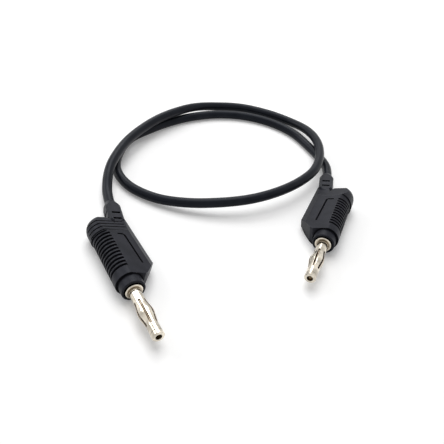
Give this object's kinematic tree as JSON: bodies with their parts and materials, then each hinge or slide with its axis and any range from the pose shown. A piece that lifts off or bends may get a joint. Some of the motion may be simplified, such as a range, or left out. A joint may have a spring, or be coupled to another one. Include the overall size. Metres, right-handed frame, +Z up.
{
  "type": "stackable test lead",
  "caption": "Short test lead with a moulded lantern-spring plug at each end; each plug's round tail takes the pin of another plug, and the cord lies in a loop.",
  "frame": {"origin": "on the surface the lead lies on, under the middle of the two plugs' overall box, cord left out", "axes": "+X across the two plugs (the box's longest side), +Y from the pins to the back of the cord's loop, +Z up (its shortest side)"},
  "size_m": [0.1144, 0.1219, 0.0094],
  "materials": {
    "housing": "satin moulded",
    "cord_jacket": "smooth, soft gloss",
    "plated_contact": "nickel plated, turned",
    "plated_spring": "nickel plated, rolled sheet",
    "copper": "bare copper"
  },
  "bodies": {
    "lead": {"left_contact": "plated_contact", "left_conductor": "copper", "left_jacket_end": "cord_jacket", "left_housing": "housing", "right_contact": "plated_contact", "right_conductor": "copper", "right_jacket_end": "cord_jacket", "right_housing": "housing", "cord": "cord_jacket"},
    "left_cage": {"left_spring_cage": "plated_spring"},
    "right_cage": {"right_spring_cage": "plated_spring"}
  },
  "joints": [
    {"name": "left_cage_spin", "type": "hinge", "parent": "lead", "child": "left_cage", "pos_m": [-0.0472, -0.0137, 0.0044], "axis": [0, -1, 0], "continuous": true},
    {"name": "right_cage_spin", "type": "hinge", "parent": "lead", "child": "right_cage", "pos_m": [0.0225, -0.0137, 0.0044], "axis": [-0.7314, -0.682, 0], "continuous": true}
  ]
}
